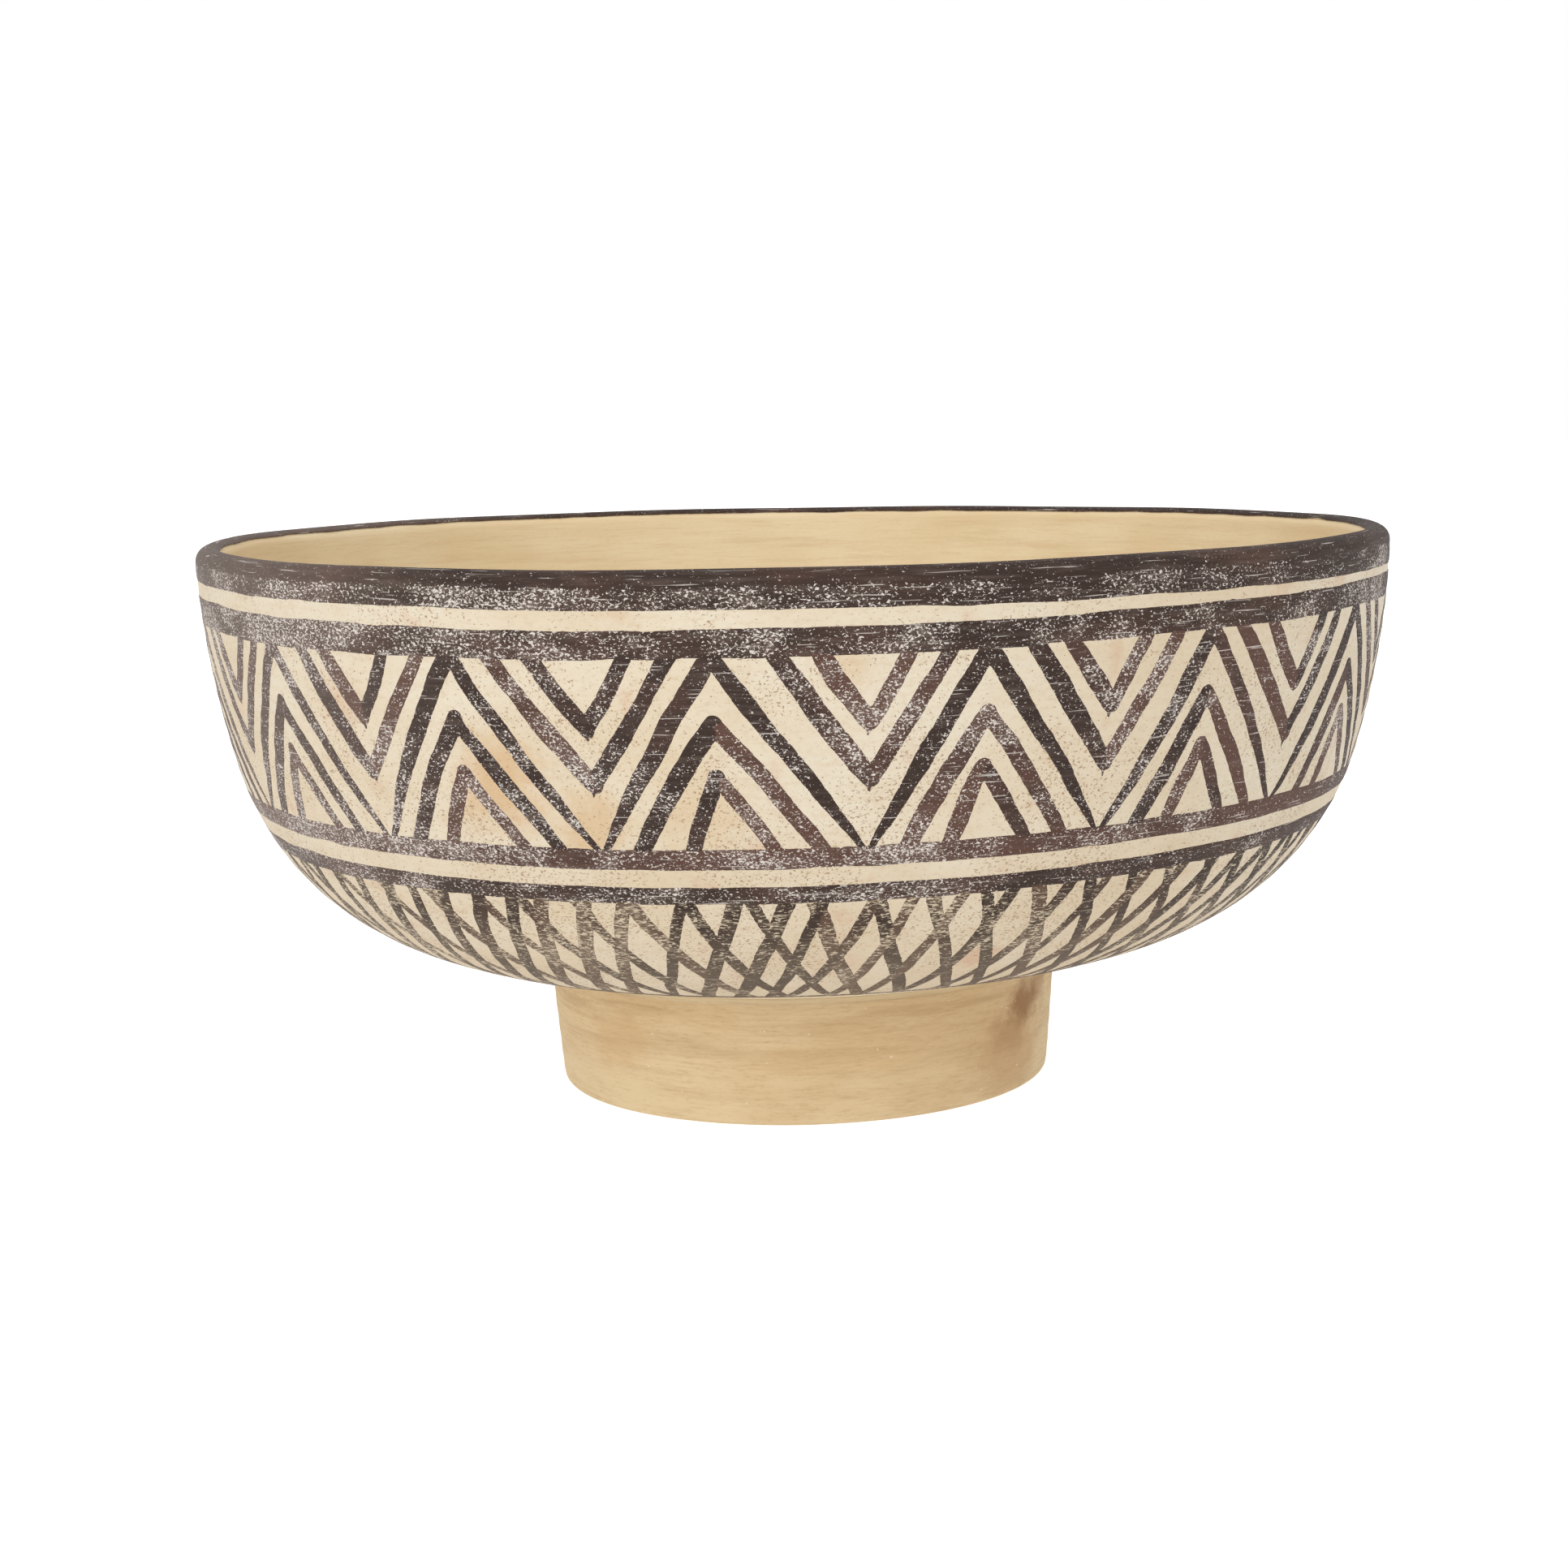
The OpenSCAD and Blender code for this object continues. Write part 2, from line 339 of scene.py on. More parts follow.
# Toasted patches and a rust mark on the foot: angle from the front, mm above the
# table, radius, strength and colour.
FOOT_MARKS = [
    (54, 12, 0.024, 0.5, (188, 146, 98)),
    (-46, 21, 0.017, 0.3, (200, 160, 108)),
    (58, 25, 0.011, 0.85, (146, 104, 64)),
    (53, 19, 0.012, 0.35, (158, 116, 72)),
    (65, 27, 0.009, 0.45, (152, 110, 68)),
]


def foot_material():
    brown, pale = painted_light_clay_tone(178, 144, 99), painted_light_clay_tone(226, 202, 161)
    graph = clay_graph("foot_clay", painted_light_clay_tone(214, 184, 140), brown, pale, 0.27)
    # long smears round the foot, darker above, paler and rubbed below
    smear = graph.noise(graph.wheel(0.09, 1), 0.2 * PER_MM, 3, 0.55)
    high = graph.ramp(graph.value_of("height"), 0.008, 0.03)
    graph.tint(graph.times(graph.ramp(smear, 0.46, 0.66), graph.times(high, 0.5)), brown)
    low = graph.ramp(graph.value_of("height"), 0.02, 0.002)
    worn = graph.noise(graph.wheel(0.3, 1), 0.12 * PER_MM, 3, 0.6)
    graph.tint(graph.times(low, graph.ramp(worn, 0.4, 0.65)), pale)
    # fine grooves with pale ridges between them
    fine = graph.noise(graph.wheel(0.14, 1), 1.7 * PER_MM, 3, 0.7)
    graph.tint(graph.ramp(fine, 0.54, 0.68, 0, 0.3), brown)
    graph.tint(graph.ramp(fine, 0.44, 0.32, 0, 0.3), pale)
    for angle, height, radius, amount, tone in FOOT_MARKS:
        turn = math.radians(angle)
        centre = (FOOT_TOP_R * math.sin(turn), -FOOT_TOP_R * math.cos(turn), height * MM)
        mark = graph.blot(centre, radius, (1, 1, 1.2))
        graph.tint(graph.times(mark, amount), painted_light_clay_tone(*tone))
    # small white chips
    chips = graph.noise(graph.wheel(0.5, 1), 0.7 * PER_MM, 2, 0.6)
    graph.tint(graph.ramp(chips, 0.72, 0.76, 0, 0.6), painted_light_clay_tone(246, 234, 208))
    return graph.finish()


def inside_material():
    dark, pale = painted_light_clay_tone(216, 183, 137), painted_light_clay_tone(246, 228, 191)
    return clay_graph("inner_clay", painted_light_clay_tone(239, 215, 173), dark, pale, 0.3).finish()


def joint_material():
    dark, pale = painted_light_clay_tone(140, 104, 66), painted_light_clay_tone(226, 204, 164)
    return clay_graph("luting_slip", painted_light_clay_tone(216, 192, 150), dark, pale, 0.4).finish()


# Iron stains on the slip: angle from the front, mm down the wall, radius, strength
# and colour.
STAINS = [
    (-26, 46, 0.017, 0.6, (224, 176, 116)),
    (-18, 56, 0.013, 0.5, (224, 180, 122)),
    (-8, 52, 0.016, 0.4, (226, 190, 140)),
    (4, 18, 0.009, 0.3, (226, 184, 132)),
    (-43, 28, 0.010, 0.35, (230, 188, 158)),
    (19, 103, 0.008, 0.5, (224, 172, 138)),
    (4, 103, 0.010, 0.3, (226, 182, 146)),
    (56, 5, 0.006, 0.4, (228, 186, 150)),
    (152, 40, 0.014, 0.5, (226, 178, 116)),
    (-130, 70, 0.011, 0.4, (226, 180, 120)),
]


def on_wall(angle, depth):
    """The point at an angle from the front and so many mm down the wall."""
    r, z = section(depth * MM)
    turn = math.radians(angle)
    return (float(r) * math.sin(turn), -float(r) * math.cos(turn), float(z))


def slip_material():
    """Cream slip: faint clouds, brush drag, tiny brown pits, a few iron stains."""
    graph = Graph("cream_slip", 0.6, 0.2, srgb(238, 219, 188))
    cloud = graph.noise(graph.wheel(0.6, 1.0), 0.035 * PER_MM, 3, 0.6)
    drag = graph.noise(graph.wheel(0.07, 1.0), 0.7 * PER_MM, 3, 0.6)
    graph.tint(graph.ramp(cloud, 0.3, 0.7), srgb(246, 233, 209))
    graph.tint(graph.ramp(drag, 0.45, 0.8, 0, 0.3), srgb(228, 202, 164))
    mottle = graph.noise(graph.wheel(0.6, 1.0), 0.8 * PER_MM, 4, 0.75)
    graph.tint(graph.ramp(mottle, 0.45, 0.7, 0, 0.3), srgb(214, 184, 144))
    low = graph.ramp(graph.axis(DOWN), 0.055, 0.1)
    graph.tint(graph.times(low, 0.25), srgb(228, 200, 160))
    # pinkish smudges
    smudge = graph.noise(graph.wheel(1.0, 1.0), 0.09 * PER_MM, 3, 0.6, 0.3)
    graph.tint(graph.ramp(smudge, 0.58, 0.75, 0, 0.45), srgb(228, 190, 158))
    for angle, depth, radius, amount, tone in STAINS:
        spot = graph.blot(on_wall(angle, depth), radius)
        graph.tint(graph.times(spot, amount), srgb(*tone))
    # pits, denser in patches
    where = graph.noise(graph.wheel(0.8, 1.0), 0.05 * PER_MM, 2, 0.5)
    pits = graph.noise(graph.wheel(0.7, 1.0), 1.7 * PER_MM, 2, 0.7)
    where = graph.plus(where, graph.ramp(graph.axis(DOWN), 0.02, 0.06, -0.06, 0.04))
    level = graph.ramp(where, 0.35, 0.65, 0.68, 0.585)
    pit = graph.ramp(graph.minus(pits, level), 0.0, 0.03)
    graph.tint(graph.times(pit, 0.75), srgb(176, 134, 94))
    graph.bump(graph.minus(graph.times(drag, 0.35), pit), 0.12 * MM, 0.6)
    return graph.finish()


def paint_material(name, dark, warm, film, speck, worn, stretch, fade=0.0):
    """Brushed slip paint: tone by stroke, wheel scratches, and pale flecks that
    crowd together in patches.

    worn sets how much of it is flecked, stretch how long the flecks run round the
    bowl, and fade how thin the paint gets low on the wall.
    """
    graph = Graph(name, 0.65, 0.15, dark)
    load = graph.value_of("load")
    cloud = graph.noise(graph.wheel(0.5, 1.0), 0.06 * PER_MM, 3, 0.6)
    drag = graph.noise(graph.wheel(0.09, 1.0), 0.9 * PER_MM, 4, 0.65)
    graph.tint(graph.ramp(graph.plus(load, cloud), 0.75, 1.3), warm)
    graph.tint(graph.ramp(drag, 0.42, 0.75, 0, 0.2), film)
    # paler towards the left: partly painted sheen from the light on that side, partly wear
    graph.tint(graph.ramp(graph.axis(ACROSS), -0.07, -0.15, 0, 0.4), film)
    graph.tint(graph.ramp(graph.axis(DOWN), 0.082, 0.104, 0, fade), film)
    # how worn each place is, with painted sheen on the left: broad patches with
    # ragged edges, more on the left, less over the lip and low on the wall
    broad = graph.noise(graph.wheel(0.6, 1.0), 0.04 * PER_MM, 2, 0.6)
    middling = graph.noise(graph.wheel(0.6, 1.0), 0.17 * PER_MM, 3, 0.6)
    wear_and_sheen = graph.plus(graph.times(broad, 0.7), graph.times(middling, 0.5))
    wear_and_sheen = graph.plus(wear_and_sheen, graph.times(load, 0.1))
    left_sheen_and_wear = graph.ramp(graph.axis(ACROSS), -0.16, 0.16, worn + 0.03, worn - 0.06)
    wear_and_sheen = graph.plus(wear_and_sheen, left_sheen_and_wear)
    wear_and_sheen = graph.minus(wear_and_sheen, graph.ramp(graph.axis(DOWN), 0.4 * MM, -1.2 * MM, 0, 0.3))
    wear_and_sheen = graph.minus(wear_and_sheen, graph.ramp(graph.axis(DOWN), 0.05, 0.07, 0, 0.07))
    # a grey bloom where it is worn most; on the left part of it is painted sheen
    bloom = graph.noise(graph.wheel(stretch, 1.0), 0.8 * PER_MM, 4, 0.75)
    grey = graph.times(graph.ramp(wear_and_sheen, 0.58, 0.8), graph.ramp(bloom, 0.35, 0.65))
    graph.tint(graph.times(grey, 0.7), film)
    # the flecks
    flecks = graph.noise(graph.wheel(stretch, 1.0), 2.0 * PER_MM, 2, 0.75, 0.4)
    level = graph.ramp(wear_and_sheen, 0.42, 0.78, 0.66, 0.52)
    fleck = graph.ramp(graph.minus(flecks, level), 0.0, 0.03)
    graph.tint(fleck, speck)
    # thin scratches along the wheel
    lines = graph.noise(graph.wheel(0.035, 1.0), 2.2 * PER_MM, 1, 0.5)
    graph.tint(graph.times(graph.ramp(lines, 0.68, 0.73), 0.6), speck)
    # the paint thins out in the last half millimetre of each stroke
    thin = graph.ramp(graph.value_of("edge"), 0.45 * MM, 0.0)
    graph.tint(graph.times(thin, 0.3), warm)
    graph.bump(graph.minus(graph.times(drag, 0.4), fleck), 0.06 * MM, 0.5)
    return graph.finish()


def floor_material():
    graph = Graph("pale_floor", 0.9, 0.1, (0.5, 0.5, 0.5, 1))
    graph.shader.inputs["Emission Color"].default_value = (1, 1, 1, 1)
    graph.shader.inputs["Emission Strength"].default_value = GLOW
    graph.tint(graph.noise(graph.place(), 3.0, 2, 0.5), (0.54, 0.54, 0.54, 1))
    return graph.finish()


# ------------------------------------------------------------- mesh building ---
def build(name, verts, polys, fields, material, nodes):
    """A smooth mesh piece that stands for CAD nodes. polys is a list of index
    arrays, one row a face, and fields maps an attribute's name to its values at
    the vertices."""
    mesh = bpy.data.meshes.new(name)
    mesh.vertices.add(len(verts))
    mesh.vertices.foreach_set("co", verts.astype(np.float32).ravel())
    loops = np.concatenate([p.ravel() for p in polys]).astype(np.int32)
    sizes = np.concatenate([np.full(len(p), p.shape[1]) for p in polys])
    starts = np.concatenate([[0], np.cumsum(sizes)[:-1]]).astype(np.int32)
    mesh.loops.add(len(loops))
    mesh.loops.foreach_set("vertex_index", loops)
    mesh.polygons.add(len(sizes))
    mesh.polygons.foreach_set("loop_start", starts)
    mesh.polygons.foreach_set("use_smooth", np.ones(len(sizes), bool))
    for key, values in fields.items():
        is_vector = values.ndim == 2
        attribute = mesh.attributes.new(key, "FLOAT_VECTOR" if is_vector else "FLOAT", "POINT")
        flat = values.astype(np.float32).ravel()
        attribute.data.foreach_set("vector" if is_vector else "value", flat)
    mesh.update(calc_edges=True)
    mesh.validate()
    mesh.materials.append(material)
    piece = bpy.data.objects.new(name, mesh)
    bpy.context.scene.collection.objects.link(piece)
    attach(piece, "root")
    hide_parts(*nodes)


def wheel_coords(theta, r, s):
    """Coordinates that run round the bowl and down the wall without a seam."""
    return np.stack([r * np.cos(theta), r * np.sin(theta), s], -1)


def beside(grid):
    """The grid moved so that each column holds the next one's values."""
    return np.roll(grid, -1, axis=1)


def revolve(name, path, columns, closed, material, nodes):
    """A turned solid. path rows are (arc length, radius, height), anticlockwise.

    A path that isn't closed starts and ends near the axis, and is capped there.
    """
    rows = len(path)
    angles = np.arange(columns) * 2 * math.pi / columns
    theta, s = np.meshgrid(angles, path[:, 0])
    r = np.broadcast_to(path[:, 1:2], theta.shape)
    z = np.broadcast_to(path[:, 2:3], theta.shape)
    verts = to_xyz(theta, r, z).reshape(-1, 3)
    wheel = wheel_coords(theta, r, s).reshape(-1, 3)
    grid = np.arange(rows * columns).reshape(rows, columns)
    after = beside(grid)
    if closed:
        corners = (grid, after, np.roll(after, -1, axis=0), np.roll(grid, -1, axis=0))
    else:
        corners = (grid[:-1], after[:-1], after[1:], grid[1:])
    polys = [np.stack(corners, -1).reshape(-1, 4)]
    if not closed:
        for row, a, b in ((0, after[0], grid[0]), (-1, grid[-1], after[-1])):
            centre = len(verts)
            middle = verts[grid[row]].mean(axis=0)
            verts = np.vstack([verts, [0, 0, middle[2]]])
            wheel = np.vstack([wheel, [0, 0, path[row, 0]]])
            polys.append(np.stack([a, b, np.full(columns, centre)], -1))
    fields = {"wheel": wheel, "height": verts[:, 2].copy()}
    build(name, verts, polys, fields, material, nodes)


def wall_path(s_from, s_to, t, step=2 * MM):
    """Path rows along the wall, moved t outward."""
    count = max(2, int(abs(s_to - s_from) / step) + 1)
    s = np.linspace(s_from, s_to, count)
    r, z = section(s, t)
    return np.stack([s, r, z], -1)


def measured(points):
    """Path rows from (radius, height) points."""
    points = np.array(points)
    steps = np.hypot(*np.diff(points, axis=0).T)
    return np.column_stack([np.concatenate([[0], np.cumsum(steps)]), points])


# ------------------------------------------------------------------- canvas ---
# Cells small enough for the strokes' edges, and large enough to keep each piece
# under 200,000 faces.
BAND_CELL, RIM_CELL, FRIEZE_CELL, NET_CELL = 0.8 * MM, 0.6 * MM, 0.5 * MM, 0.82 * MM
MARGIN = 3 * MM  # bare canvas above and below the paint
STEADY = 0.1 * MM  # the hand's waver on a line drawn while the bowl is turned
FAR = 9 * MM  # stands for any distance too great to matter
PAD_ROWS = 64  # extra rows, so that the waver at the top doesn't repeat below
SLOW_WAVE, FINE_WAVE = 12 * MM, 1.3 * MM  # lengths of the hand's and bristles' waver
COAT_EDGE = -0.03 * MM  # the skin's height at its outline, just in the slip
COAT_ROUND = 0.35 * MM  # how far in from its outline the skin is rounded
COAT_UNDER = -0.12 * MM  # its underside


def wander(theta):
    """How far down the wall the painter's hand strayed, the same for all coats."""
    return MM * (0.05 + 0.8 * np.cos(2 * theta + 0.7) - 0.35 * np.sin(theta))


def wrap(angle):
    return (angle + math.pi) % (2 * math.pi) - math.pi


def number(mask, start):
    """Numbers from start where mask is true, and -1 elsewhere."""
    return np.where(mask, np.cumsum(mask).reshape(mask.shape) - 1 + start, -1)


class Canvas:
    """The unrolled wall between two arc lengths, on which strokes are painted.

    field is the distance outside the paint, in metres, and load a stroke's tone.
    slow and fine are how far the hand and the bristles waver.
    """

    def __init__(self, s_from, s_to, cell, seed, slow=0.17 * MM, fine=0.03 * MM):
        self.rng = np.random.default_rng(seed)
        self.cols = int(2 * math.pi * R / cell)
        self.s = np.arange(s_from - cell, s_to + 1.5 * cell, cell)
        self.theta = (np.arange(self.cols) - self.cols // 2) * 2 * math.pi / self.cols
        self.radius = section(self.s)[0]
        self.cell = cell
        self.field = np.full((len(self.s), self.cols), FAR)
        self.load = np.full(self.field.shape, 0.5)
        self.dx = slow * self.waver(SLOW_WAVE) + fine * self.waver(FINE_WAVE)
        self.ds = slow * self.waver(SLOW_WAVE) + fine * self.waver(FINE_WAVE)
        self.ds -= wander(self.theta)[None, :]

    def waver(self, length):
        """Smooth random values round the canvas, of unit size."""
        white = self.rng.standard_normal((len(self.s) + PAD_ROWS, self.cols))
        down = np.fft.fftfreq(white.shape[0], self.cell)[:, None]
        around = np.fft.rfftfreq(white.shape[1], self.cell)[None, :]
        keep = np.exp(-2 * (length / 2) ** 2 * (down**2 + around**2) * math.pi)
        smooth = np.fft.irfft2(np.fft.rfft2(white) * keep, s=white.shape)
        smooth = smooth[: len(self.s)]
        return smooth / smooth.std()

    def stroke(self, points, widths, load):
        """A brush stroke through points (angle, arc length), with a width at each."""
        half = widths / 2
        middle = points[:, 0].mean()
        reach = half.max() + 4 * MM
        below = self.s > points[:, 1].min() - reach
        above = self.s < points[:, 1].max() + reach
        rows = np.where(below & above)[0]
        span = max(abs(points[:, 0] - middle)) + reach / self.radius[rows].min()
        cols = np.where(abs(wrap(self.theta - middle)) < span)[0]
        box = np.ix_(rows, cols)
        radius = self.radius[rows][:, None]
        x = wrap(self.theta[cols] - middle)[None, :] * radius + self.dx[box]
        y = self.s[rows][:, None] + self.ds[box]
        best = np.full(x.shape, FAR)
        for i in range(len(points) - 1):
            ax, bx = (points[i, 0] - middle) * radius, (points[i + 1, 0] - middle) * radius
            ay, by = points[i, 1], points[i + 1, 1]
            ux, uy = bx - ax, by - ay
            k = ((x - ax) * ux + (y - ay) * uy) / (ux**2 + uy**2 + 1e-12)
            k = np.clip(k, 0, 1)
            distance = np.hypot(x - ax - k * ux, y - ay - k * uy)
            best = np.minimum(best, distance - half[i] - k * (half[i + 1] - half[i]))
        old = self.field[box]
        self.load[box] = np.where(best < old, load, self.load[box])
        self.field[box] = np.minimum(best, old)

    def ring(self, s_top, s_low, load):
        """A band round the bowl; its edges may be arrays, one value a column."""
        y = self.s[:, None] + self.ds
        outside = np.maximum(s_top - y, y - s_low)
        self.load = np.where(outside < self.field, load, self.load)
        self.field = np.minimum(self.field, outside)

    def keep_between(self, s_top, s_low):
        """Cuts the paint off straight at two arc lengths."""
        y = self.s[:, None]
        self.field = np.maximum(self.field, np.maximum(s_top - y, y - s_low))

    def mesh(self, name, height, material, slot, nodes):
        """The painted area as a closed thin skin, by marching squares."""
        field = self.field
        field[[0, -1]] = np.maximum(field[[0, -1]], 0.2 * MM)
        inside = field < 0
        rows, cols = field.shape
        field_beside = beside(field)
        cut_h = inside != beside(inside)
        cut_v = inside[:-1] != inside[1:]
        count_in, count_h, count_v = inside.sum(), cut_h.sum(), cut_v.sum()
        id_in = number(inside, 0)
        id_h = number(cut_h, count_in)
        id_v = number(cut_v, count_in + count_h)
        # the vertices: grid points in the paint, and where its outline crosses the
        # grid's lines, as (row, column) positions
        jj, ii = np.meshgrid(np.arange(cols), np.arange(rows))
        along_h = (field / np.where(cut_h, field - field_beside, 1))[cut_h]
        along_v = (field[:-1] / np.where(cut_v, field[:-1] - field[1:], 1))[cut_v]
        along_h, along_v = np.clip(along_h, 0.02, 0.98), np.clip(along_v, 0.02, 0.98)
        row = np.concatenate([ii[inside], ii[cut_h], ii[:-1][cut_v] + along_v])
        col = np.concatenate([jj[inside], jj[cut_h] + along_h, jj[:-1][cut_v]])
        load = np.concatenate([self.load[inside], self.load[cut_h], self.load[:-1][cut_v]])
        depth = np.concatenate([-field[inside], np.zeros(count_h + count_v)])
        # walk each cell's four corners and, between them, its four crossings
        walk = [
            id_in[:-1], id_h[:-1], beside(id_in)[:-1], beside(id_v),
            beside(id_in)[1:], id_h[1:], id_in[1:], id_v,
        ]
        walk = np.stack([numbers.reshape(-1) for numbers in walk], -1)
        walk = walk[(walk >= 0).any(axis=1)]
        cases = (walk >= 0) @ (1 << np.arange(8))
        tops, rims = [], []
        for case in np.unique(cases):
            cells = walk[cases == case]
            present = [k for k in range(8) if case >> k & 1]
            if len(present) < 3:
                continue
            tops.append(cells[:, present])
            for a, b in zip(present, present[1:] + present[:1]):
                if a % 2 and b % 2:
                    rims.append(cells[:, [a, b]])
        s = self.s[0] + row * self.cell
        theta = self.theta[0] + col * 2 * math.pi / cols
        upper = COAT_EDGE + (height - COAT_EDGE) * ease(depth, 0, COAT_ROUND)
        under = np.full(len(row), COAT_UNDER)
        verts = np.concatenate([to_xyz(theta, *section(s, t)) for t in (upper, under)])
        rim = np.concatenate(rims)
        sides = np.stack([rim[:, 1], rim[:, 0], rim[:, 0] + len(row), rim[:, 1] + len(row)], -1)
        by_size = {}
        for faces in tops + [top[:, ::-1] + len(row) for top in tops] + [sides]:
            by_size.setdefault(faces.shape[1], []).append(faces)
        polys = [np.concatenate(faces) for faces in by_size.values()]
        wheel = wheel_coords(theta, section(s)[0], s)
        fields = {
            "wheel": np.concatenate([wheel, wheel]),
            "load": np.concatenate([load, load]),
            "edge": np.concatenate([depth, depth]),
        }
        build(name, verts, polys, fields, material, nodes)


# -------------------------------------------------------------- clay and slip ---
INSET = 2 * MM  # where the bowl's path stops short of the axis
LIP_STEP = 0.8 * MM  # spacing of the path's rows over the lip

body_path = np.concatenate([
    wall_path(S_END - INSET, 0, SLIP - WALL),
    wall_path(S_LIP, 0, -SLIP, LIP_STEP)[1:],
    wall_path(0, S_END - INSET, -SLIP, 3 * MM)[1:],
])
revolve("clay_bowl", body_path, 440, False, inside_material(), ["bowl_body"])

s_slip_end = s_at_r(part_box("base_line")[1][0] - 3.4 * MM)
slip_path = np.concatenate([
    wall_path(S_COATS, 0, 0, LIP_STEP),
    wall_path(0, s_slip_end, 0)[1:],
    wall_path(s_slip_end, 0, -SLIP),
    wall_path(0, S_COATS, -SLIP, LIP_STEP)[1:],
])
revolve("slip_coat", slip_path, 480, True, slip_material(), ["cream_slip"])

FOOT_ROUND = 2 * MM  # rounding of the resting edge
FOOT_RISE = 36 * MM  # height over which the foot widens to its top
FOOT_BED = 0.2 * MM  # how far the foot's top stays below the line of the slip


def under_bowl(r, t):
    """Height of the underside at a radius, moved t outward."""
    return float(section(s_at_r(r), t)[1])


def foot_path():
    """The foot's closed section: round the resting edge, up the outside, over the
    top and down inside."""
    low = foot_low[2]

    def corner(centre, start):
        """A quarter turn round a centre's radius, from a start in half turns."""
        turns = math.pi * (start + np.linspace(0, 0.5, 9))
        return [
            (centre + FOOT_ROUND * math.cos(a), low + FOOT_ROUND * (1 + math.sin(a)))
            for a in turns
        ]

    def outside(z):
        return FOOT_LOW_R + (FOOT_TOP_R - FOOT_LOW_R) * z / FOOT_RISE

    rows = 26
    out_top = under_bowl(FOOT_TOP_R, FOOT_BED)
    in_top = under_bowl(FOOT_TOP_R - FOOT_T, FOOT_BED)
    up = np.linspace(low + FOOT_ROUND, out_top, rows)[1:]
    down = np.linspace(in_top, low + FOOT_ROUND, rows)[:-1]
    points = corner(FOOT_LOW_R - FOOT_T + FOOT_ROUND, 1) + corner(FOOT_LOW_R - FOOT_ROUND, 1.5)
    points += [(outside(z), z) for z in up]
    points += [(outside(z) - FOOT_T, z) for z in down]
    return measured(points)


def bead_path():
    """The luting slip: a bead outside, the thin bed, and a bead inside."""
    outer, inner = FOOT_TOP_R, FOOT_TOP_R - FOOT_T
    reach = 4 * MM  # how far the beads spread from the foot
    in_drop, out_drop = 1.8 * MM, 1.6 * MM  # how far they come down it
    lap = 0.6 * MM  # how far they run into the foot's top
    points = [(r, under_bowl(r, -SLIP)) for r in np.linspace(outer + reach, inner - reach, 14)]
    in_low = under_bowl(inner, 0) - in_drop
    out_low = under_bowl(outer, 0) - out_drop
    for k in np.linspace(0, 1, 6)[1:]:
        points.append((inner - reach * (1 - k) ** 1.6, in_low + in_drop * (1 - k)))
    points += [(inner + lap, in_low), (outer - lap, out_low)]
    for k in np.linspace(0, 1, 7)[:-1]:
        points.append((outer + 0.25 * MM + 3.6 * MM * k**1.7, out_low + 1.5 * MM * k))
    return measured(points)


revolve("foot", foot_path()[::-1], 360, True, foot_material(), ["foot_ring"])
revolve("luting_bead", bead_path(), 360, True, joint_material(), ["joint_slip"])

# ------------------------------------------------------------------- painting ---
UMBER = dict(
    dark=srgb(62, 46, 39), warm=srgb(102, 72, 60), film=srgb(158, 139, 127),
    speck=srgb(240, 230, 220),
)
WASH = dict(
    dark=srgb(64, 48, 39), warm=srgb(98, 73, 58), film=srgb(154, 135, 112),
    speck=srgb(226, 208, 180),
)
umber = paint_material("umber_paint", worn=0.02, stretch=0.6, **UMBER)
umber_strokes = paint_material("umber_strokes", worn=-0.03, stretch=0.65, **UMBER)
washed = paint_material("washed_paint", worn=0.06, stretch=0.3, fade=0.3, **WASH)

BAND_HIGH = 0.09 * MM  # how far the bands stand out from the slip
STROKE_HIGH = 0.07 * MM  # and the frieze's strokes
rng = np.random.default_rng(11)


def jitter(size):
    return float(rng.uniform(-size, size))


def band_edges(node):
    low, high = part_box(node)
    return s_at_z(high[2]), s_at_z(low[2])


def paint_band(name, node, load, seed, raised=(0.0, 0.0), swell=0.0):
    """A ring of paint. raised is how far, in mm, its two edges lie above the
    frame's, and swell how much wider it gets on the left."""
    top, low = band_edges(node)
    canvas = Canvas(top - MARGIN, low + MARGIN, BAND_CELL, seed, STEADY)
    more = swell * ease(-np.sin(canvas.theta), 0.2, 0.8)
    canvas.ring(top - MM * (more + raised[0]), low + MM * (more - raised[1]), load)
    canvas.mesh(name, BAND_HIGH, umber, "umber_paint", [node])


def paint_rim():
    low = s_at_z(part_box("rim_band")[0][2])
    canvas = Canvas(S_COATS - 2 * MM, low + MARGIN, RIM_CELL, 3, STEADY)
    edge = MM * (0.75 + 0.55 * np.sin(canvas.theta + 0.2)) - wander(canvas.theta)
    canvas.ring(S_COATS - 0.3 * MM - wander(canvas.theta), low + edge, 0.35)
    canvas.mesh("rim_paint", BAND_HIGH, umber, "umber_paint", ["rim_band"])


paint_rim()
paint_band("upper_line", "upper_band", 0.4, 4, swell=0.35)
paint_band("middle_line", "middle_band", 0.65, 5, (0.4, 0.15))
paint_band("lower_line", "lower_band", 0.4, 6, (0.4, 0.4))

# The frieze. Standing triangles peak at the top, hanging ones point down.
MOTIFS = 16
PITCH = 360 / MOTIFS
FIRST = 5.0  # the hanging triangle nearest the front, in degrees to its right
S_TOP = band_edges("upper_band")[1]
S_LOW = band_edges("middle_band")[0]
FRIEZE_H = (S_LOW - S_TOP) / MM
